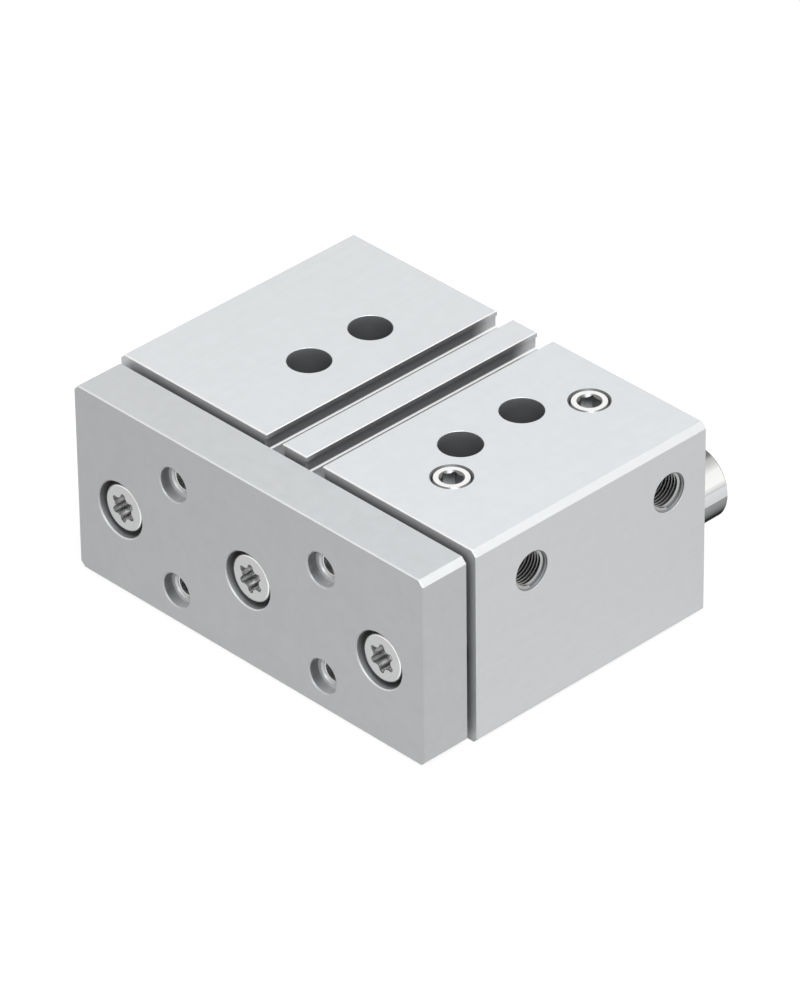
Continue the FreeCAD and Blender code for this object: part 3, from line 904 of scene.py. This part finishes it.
@dataclass
class Palette:
    """Every finish of the cylinder, made once."""

    housing: bpy.types.Material = field(init=False)
    plate: bpy.types.Material = field(init=False)
    turned: bpy.types.Material = field(init=False)
    thread: bpy.types.Material = field(init=False)
    fine_thread: bpy.types.Material = field(init=False)
    chrome: bpy.types.Material = field(init=False)
    screw: bpy.types.Material = field(init=False)
    plug: bpy.types.Material = field(init=False)
    spring_steel: bpy.types.Material = field(init=False)
    bronze: bpy.types.Material = field(init=False)
    magnet: bpy.types.Material = field(init=False)
    rubber: bpy.types.Material = field(init=False)
    polymer: bpy.types.Material = field(init=False)
    felt: bpy.types.Material = field(init=False)

    def __post_init__(self) -> None:
        """Build the materials."""
        seats = SeatLightAndShade()
        self.housing = Anodised(
            "housing_anodised",
            (0.785, 0.785, 0.785),
            seats=seats.housing(),
            slots=SlotEdges(),
            recess=0.25,
        ).material()
        self.plate = Anodised(
            "plate_anodised",
            (0.635, 0.635, 0.635),
            Axis.FRONT,
            seats.plate(),
            recess=0.42,
            floor_light=1.0,
            near_reach=1.0 * MM,
            mark_scale=(160.0,) * 3,
            variation=0.035,
        ).material()
        self.turned = Anodised(
            "turned_aluminium", (0.66, 0.67, 0.68), roughness=0.32, metallic=0.7
        ).material()
        self.thread = Polished(
            "cut_thread",
            (0.42, 0.42, 0.42),
            roughness=0.28,
            recess=0.4,
            own_reach=0.8 * MM,
            near_reach=3.5 * MM,
        ).material()
        self.fine_thread = Polished(
            "fine_thread",
            (0.7, 0.7, 0.7),
            roughness=0.22,
            recess=0.35,
            own_reach=0.5 * MM,
            near_reach=2.5 * MM,
        ).material()
        self.chrome = Chromed(
            "hard_chrome", (0.95, 0.955, 0.96), roughness=0.1, recess=0.6, rim_tint=0.1
        ).material()
        # Roundings and socket walls painted lighter than the face: painted highlight.
        self.screw = Faced(
            "zinc_plated_screw",
            (0.50, 0.50, 0.50),
            roughness=0.26,
            recess=0.6,
            own_reach=2.0 * MM,
            near_reach=2.0 * MM,
            face=Axis.FRONT,
            slope=0.95,
        ).material()
        # Chamfer and socket walls painted dark: painted shade.
        self.plug = Faced(
            "nickel_plated_plug",
            (0.93, 0.93, 0.93),
            roughness=0.3,
            recess=0.35,
            near_reach=1.5 * MM,
        ).material()
        self.spring_steel = Polished(
            "phosphated_ring", (0.16, 0.16, 0.165), roughness=0.42
        ).material()
        self.bronze = Polished("sintered_bronze", (0.50, 0.36, 0.20), roughness=0.4).material()
        self.magnet = Polished("bonded_magnet", (0.13, 0.13, 0.14), roughness=0.5).material()
        self.rubber = Elastic("seal_rubber", (0.018, 0.018, 0.019)).material()
        self.polymer = Elastic("band_polymer", (0.05, 0.05, 0.055), roughness=0.45).material()
        self.felt = Elastic(
            "oiled_felt",
            (0.10, 0.095, 0.085),
            roughness=0.9,
            grain_scale=1500.0,
            grain_depth=0.1 * MM,
        ).material()


@dataclass
class Solids:
    """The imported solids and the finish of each."""

    palette: Palette

    def finish_of(self, node: str) -> bpy.types.Material:
        """Choose the finish of a solid by its slot in the record.

        Args:
            node: Name of the solid.

        Returns:
            Its material.
        """
        slots = {part["node"]: part["material_slot"] for part in frame["record"]["subparts"]}
        finishes = {
            "body_aluminium": self.palette.housing,
            "plate_aluminium": self.palette.plate,
            "inner_aluminium": self.palette.turned,
            "plug_steel": self.palette.plug,
            "screw_steel": self.palette.screw,
            "ring_steel": self.palette.spring_steel,
            "rod_chrome": self.palette.chrome,
            "bearing_bronze": self.palette.bronze,
            "seal_rubber": self.palette.rubber,
            "band_polymer": self.palette.polymer,
            "wiper_felt": self.palette.felt,
            "magnet_steel": self.palette.magnet,
        }
        return finishes[slots[node]]

    def dress_all(self) -> None:
        """Give every solid its finish."""
        for node, piece in frame["nodes"].items():
            dress(piece, self.finish_of(node))
            LOG.info("dressed %s", node)


@dataclass(frozen=True)
class Thread:
    """An internal thread: its sizes, and where its mouths are.

    Attributes:
        name: Name of its pieces, before their number.
        major_radius: Radius of the bore that it is cut into.
        depth: Height of its ridge.
        pitch: Length of one turn.
        length: Length that is threaded.
        axis: Where its holes open to.
        body: Body that it moves with.
        slot: Material slot of that body's metal; not used.
        mouths: Where it starts, on the axis of each hole.
        root: Width of the ridge at the wall, as a share of the pitch.
        crest: Width of the ridge at its top, as a share of the pitch.
        backing: How far the ridge reaches into the wall.
        steps: Steps in one turn.
        smooth: Angle in degrees up to which its faces are shaded as one.
    """

    name: str
    major_radius: float
    depth: float
    pitch: float
    length: float
    axis: Axis
    body: str
    slot: str
    mouths: tuple[Point, ...]
    root: float = 0.9
    crest: float = 0.16
    backing: float = 0.05 * MM
    steps: int = 48
    smooth: float = 28.0

    def ridge(self) -> bpy.types.Object:
        """Model one helical ridge along +Z, ending at the origin's plane.

        Returns:
            The ridge as a closed mesh.
        """
        deselect_all()
        root, crest = self.root * self.pitch, self.crest * self.pitch
        height = self.depth + self.backing
        middle = self.major_radius + self.backing - height / 2
        bpy.ops.mesh.primitive_plane_add(size=1.0, rotation=(math.pi / 2, 0.0, 0.0))
        piece = bpy.context.object
        bpy.ops.object.transform_apply(location=False, rotation=True, scale=False)
        bpy.ops.object.mode_set(mode="EDIT")
        bpy.ops.transform.resize(value=(height, 1.0, root))
        turns = int(self.length / self.pitch)
        bpy.ops.transform.translate(value=(middle, 0.0, -turns * self.pitch - root / 2))
        bpy.ops.mesh.select_all(action="DESELECT")
        bpy.ops.object.mode_set(mode="OBJECT")
        for vertex in piece.data.vertices:
            vertex.select = vertex.co.x < middle
        bpy.ops.object.mode_set(mode="EDIT")
        bpy.ops.transform.resize(value=(1.0, 1.0, crest / root))
        bpy.ops.mesh.select_all(action="SELECT")
        bpy.ops.mesh.delete(type="ONLY_FACE")
        bpy.ops.object.mode_set(mode="OBJECT")
        screw = piece.modifiers.new("helix", "SCREW")
        screw.axis = "Z"
        screw.angle = 2.0 * math.pi
        screw.screw_offset = self.pitch
        screw.iterations = turns
        screw.steps = self.steps
        screw.render_steps = self.steps
        apply_modifiers(piece)
        bpy.ops.object.mode_set(mode="EDIT")
        bpy.ops.mesh.select_all(action="DESELECT")
        bpy.ops.mesh.select_non_manifold()
        bpy.ops.mesh.fill_holes(sides=8)
        bpy.ops.mesh.select_all(action="SELECT")
        bpy.ops.mesh.normals_make_consistent(inside=False)
        bpy.ops.object.mode_set(mode="OBJECT")
        bpy.ops.object.shade_smooth_by_angle(angle=math.radians(self.smooth))
        return piece

    def place(self, piece: bpy.types.Object, mouth: Point) -> None:
        """Turn a ridge along its hole and move it to its mouth.

        Args:
            piece: The ridge.
            mouth: Where the thread starts, on the hole's axis.
        """
        turn = Vector(Axis.UP.value).rotation_difference(Vector(self.axis.value))
        move = Matrix.Translation(Vector(mouth))
        piece.data.transform(move @ turn.to_matrix().to_4x4())

    def cut_all(self, material: bpy.types.Material) -> None:
        """Model the thread once and set a copy in every hole.

        Args:
            material: Finish of the thread.
        """
        pattern = self.ridge()
        dress(pattern, material)
        for index, mouth in enumerate(self.mouths):
            piece = pattern.copy()
            piece.data = pattern.data.copy()
            piece.name = f"{self.name}_{index + 1}"
            bpy.context.scene.collection.objects.link(piece)
            self.place(piece, mouth)
            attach(piece, self.body)
            LOG.info("cut %s", piece.name)
        bpy.data.objects.remove(pattern)


@dataclass(frozen=True)
class ThreadWork:
    """All threads that can be seen into, and how far inside their holes they start."""

    holes: Holes = Holes()
    port_inset: float = 0.6 * MM
    plate_inset: float = 3.35 * MM
    base_inset: float = 0.5 * MM

    def threads(self) -> list[Thread]:
        """List the threads.

        Returns:
            The port, plate and base threads.
        """
        return [
            Thread(
                "port_thread",
                major_radius=4.865 * MM,
                depth=0.52 * MM,
                pitch=0.907 * MM,
                length=9.7 * MM,
                axis=Axis.RIGHT,
                body="cylinder",
                slot="body_aluminium",
                mouths=self.holes.ports(self.port_inset),
            ),
            Thread(
                "plate_thread",
                major_radius=3.0 * MM,
                depth=0.22 * MM,
                pitch=0.4 * MM,
                length=9.9 * MM,
                axis=Axis.FRONT,
                body="carriage",
                slot="plate_aluminium",
                mouths=self.holes.plate(self.plate_inset),
            ),
            Thread(
                "base_thread",
                major_radius=4.0 * MM,
                depth=0.68 * MM,
                pitch=1.25 * MM,
                length=15.0 * MM,
                axis=Axis.DOWN,
                body="cylinder",
                slot="body_aluminium",
                mouths=self.holes.base(self.base_inset),
            ),
        ]

    def cut_all(self, palette: Palette) -> None:
        """Cut every thread, with the finer finish in the plate."""
        for thread in self.threads():
            thread.cut_all(palette.fine_thread if thread.body == "carriage" else palette.thread)


@dataclass(frozen=True)
class Lamp:
    """One soft square lamp.

    Attributes:
        name: Name of the lamp.
        place: Its place.
        size: Its side.
        power: Its power in watts.
    """

    name: str
    place: Point
    size: float
    power: float

    def add(self, target: Vector, colour: Colour) -> None:
        """Set the lamp up so that it faces the object.

        Args:
            target: Where it aims.
            colour: Colour of its light.
        """
        data = bpy.data.lights.new(self.name, "AREA")
        data.shape = "SQUARE"
        data.size = self.size
        data.energy = self.power
        data.color = colour
        lamp = bpy.data.objects.new(self.name, data)
        place = Vector(self.place)
        turn = (target - place).to_track_quat("-Z", "Y")
        lamp.matrix_world = Matrix.Translation(place) @ turn.to_matrix().to_4x4()
        bpy.context.scene.collection.objects.link(lamp)


@dataclass(frozen=True)
class Studio:
    """Plain pale floor, soft light and the camera.

    Attributes:
        azimuth: Angle of the camera about the upright axis, in degrees from the front.
        elevation: Its angle above the floor, in degrees.
        roll: Its tilt, in degrees.
        distance: How far it stands from the target.
        shift_right: How far it is moved to its right.
        shift_up: How far it is moved up.
        target: Point that the camera and the lamps aim at.
        lens: Its focal length in millimetres.
        sensor: Width of its sensor in millimetres.
        clip: Nearest and farthest distance that it shows.
        floor_half_size: Half the side of the floor.
        floor_colour: Colour of the floor, which the part stands in.
        floor_lift: Light that the floor shows to the camera and to mirrors by itself.
        fill: Strength of the surroundings as a light.
        backdrop: Strength of the surroundings where they are seen or mirrored.
        fill_colour: Colour of the surroundings.
        lamp_colour: Colour of the lamps.
        lamps: The lamps.
    """

    azimuth: float = 46.0563
    elevation: float = 33.8892
    roll: float = -0.6996
    distance: float = 1819.48 * MM
    shift_right: float = -2.935 * MM
    shift_up: float = -4.18 * MM
    target: Point = (0.0, 0.0, 27.0 * MM)
    lens: float = 275.63
    sensor: float = 36.0
    clip: tuple[float, float] = (0.05, 50.0)
    floor_half_size: float = 6.0
    floor_colour: Colour = (0.255, 0.25, 0.245)
    floor_lift: float = 0.89
    fill: float = 0.2
    backdrop: float = 1.0
    fill_colour: Colour = (1.0, 0.99, 0.975)
    lamp_colour: Colour = (0.935, 1.0, 1.06)
    lamps: tuple[Lamp, ...] = (
        Lamp("key", (0.42, -0.16, 1.06), size=0.65, power=9.4),
        Lamp("front", (0.4, -0.8, 0.55), size=0.26, power=1.25),
    )

    def camera(self) -> None:
        """Set the camera where the photograph was taken."""
        azimuth = math.radians(self.azimuth)
        elevation = math.radians(self.elevation)
        roll = math.radians(self.roll)
        back = Vector(
            (
                math.sin(azimuth) * math.cos(elevation),
                -math.cos(azimuth) * math.cos(elevation),
                math.sin(elevation),
            )
        )
        level = Vector((math.cos(azimuth), math.sin(azimuth), 0.0))
        upright = back.cross(level)
        right = level * math.cos(roll) + upright * math.sin(roll)
        up = upright * math.cos(roll) - level * math.sin(roll)
        place = Vector(self.target) + back * self.distance
        place = place + right * self.shift_right + up * self.shift_up
        data = bpy.data.cameras.new("camera")
        data.sensor_width = self.sensor
        data.lens = self.lens
        data.clip_start, data.clip_end = self.clip
        camera = bpy.data.objects.new("camera", data)
        turn = Matrix((right, up, back)).transposed()
        camera.matrix_world = Matrix.Translation(place) @ turn.to_4x4()
        bpy.context.scene.collection.objects.link(camera)
        bpy.context.scene.camera = camera

    def world(self) -> None:
        """Make the surroundings white where they are seen or mirrored, and a soft fill elsewhere."""
        world = bpy.data.worlds.new("studio")
        world.use_nodes = True
        tree = world.node_tree
        surroundings = tree.nodes["Background"]
        path = tree.nodes.new("ShaderNodeLightPath")
        seen = tree.nodes.new("ShaderNodeMath")
        seen.operation = "MAXIMUM"
        tree.links.new(path.outputs["Is Camera Ray"], seen.inputs[0])
        tree.links.new(path.outputs["Is Glossy Ray"], seen.inputs[1])
        through = tree.nodes.new("ShaderNodeMath")
        through.operation = "MAXIMUM"
        tree.links.new(seen.outputs["Value"], through.inputs[0])
        tree.links.new(path.outputs["Is Transmission Ray"], through.inputs[1])
        level = tree.nodes.new("ShaderNodeMapRange")
        level.inputs["To Min"].default_value = self.fill
        level.inputs["To Max"].default_value = self.backdrop
        tree.links.new(through.outputs["Value"], level.inputs["Value"])
        tree.links.new(level.outputs["Result"], surroundings.inputs["Strength"])
        surroundings.inputs["Color"].default_value = (*self.fill_colour, 1.0)
        bpy.context.scene.world = world

    def floor(self) -> None:
        """Lay the pale floor under the object."""
        deselect_all()
        bpy.ops.mesh.primitive_plane_add(size=2.0 * self.floor_half_size, location=(0.0, 0.0, 0.0))
        floor = bpy.context.object
        floor.name = "floor"
        shader = Shader("pale_floor")
        surface = shader.principled(Roughness=1.0)
        surface.inputs["Specular IOR Level"].default_value = 0.0
        surface.inputs["Base Color"].default_value = (*self.floor_colour, 1.0)
        path = shader.tree.nodes.new("ShaderNodeLightPath")
        seen = shader.math("MAXIMUM", path.outputs["Is Camera Ray"], path.outputs["Is Glossy Ray"])
        seen = shader.math("MAXIMUM", seen, path.outputs["Is Transmission Ray"])
        lift = shader.math("MULTIPLY", seen, self.floor_lift)
        surface.inputs["Emission Color"].default_value = (1.0, 1.0, 1.0, 1.0)
        shader.link(lift, surface.inputs["Emission Strength"])
        dress(floor, shader.material)

    def build(self) -> None:
        """Set up the whole studio."""
        self.world()
        self.floor()
        for lamp in self.lamps:
            lamp.add(Vector(self.target), self.lamp_colour)
        self.camera()
        bpy.context.scene.view_settings.view_transform = "Standard"


def main() -> None:
    """Dress the solids, cut the threads and set up the studio."""
    logging.basicConfig(level=logging.INFO, format="%(name)s: %(message)s")
    palette = Palette()
    Solids(palette).dress_all()
    ThreadWork().cut_all(palette)
    Studio().build()


if __name__ == "__main__":
    main()
